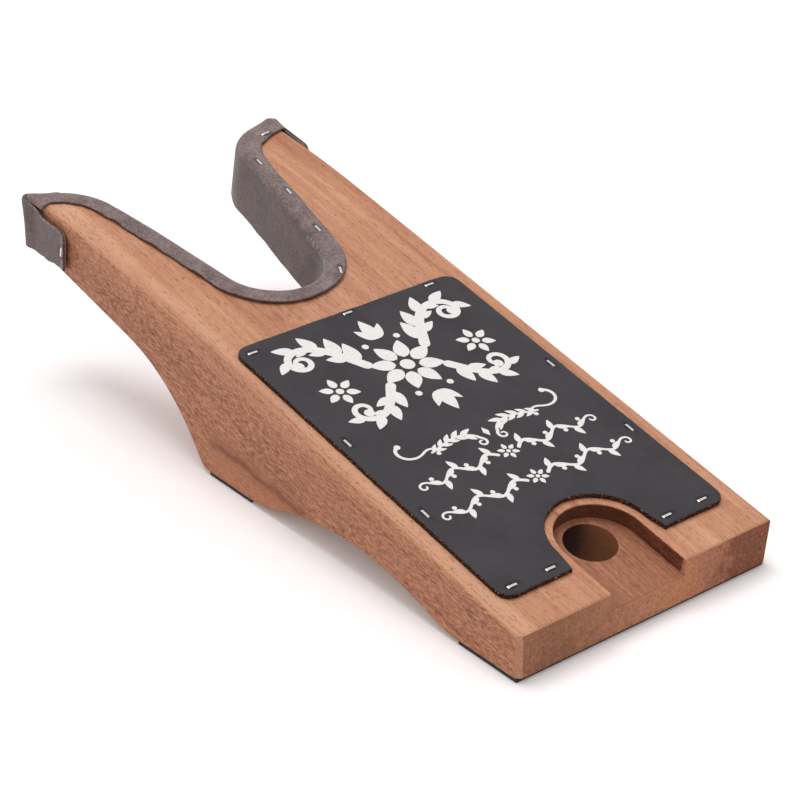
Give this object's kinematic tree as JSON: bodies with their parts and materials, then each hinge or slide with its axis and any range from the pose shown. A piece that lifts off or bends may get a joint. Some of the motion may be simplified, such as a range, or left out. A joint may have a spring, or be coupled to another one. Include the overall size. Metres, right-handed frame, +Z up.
{
  "type": "boot jack",
  "caption": "Wooden boot jack with a flared heel notch lined in suede, a leather tread, a finger pocket with a hanging hole, and rubber foot pads.",
  "frame": {"origin": "on the floor, at the middle of the outline seen from above", "axes": "+X to the user's right when standing behind the low end and facing the prongs, +Y from the low front edge to the prong tips, +Z up"},
  "size_m": [0.1254, 0.3074, 0.0787],
  "materials": {
    "wood": "thin satin oil on reddish-brown mahogany-like wood",
    "suede": "napped grey-brown suede",
    "tread_leather": "smooth charcoal leather with a raw brown cut edge and a white printed ornament",
    "foot_rubber": "matt black rubber sheet",
    "staple_steel": "bright galvanised wire"
  },
  "bodies": {
    "root": {"wood_body": "wood", "notch_trim": "suede", "tread_leather": "tread_leather", "front_foot_pad": "foot_rubber", "fulcrum_foot_pad": "foot_rubber", "tread_back_staples": "staple_steel", "tread_left_staples": "staple_steel", "tread_right_staples": "staple_steel", "tread_front_staples": "staple_steel", "trim_right_staples": "staple_steel", "left_tab_staple": "staple_steel", "right_tab_staple": "staple_steel"}
  },
  "joints": []
}
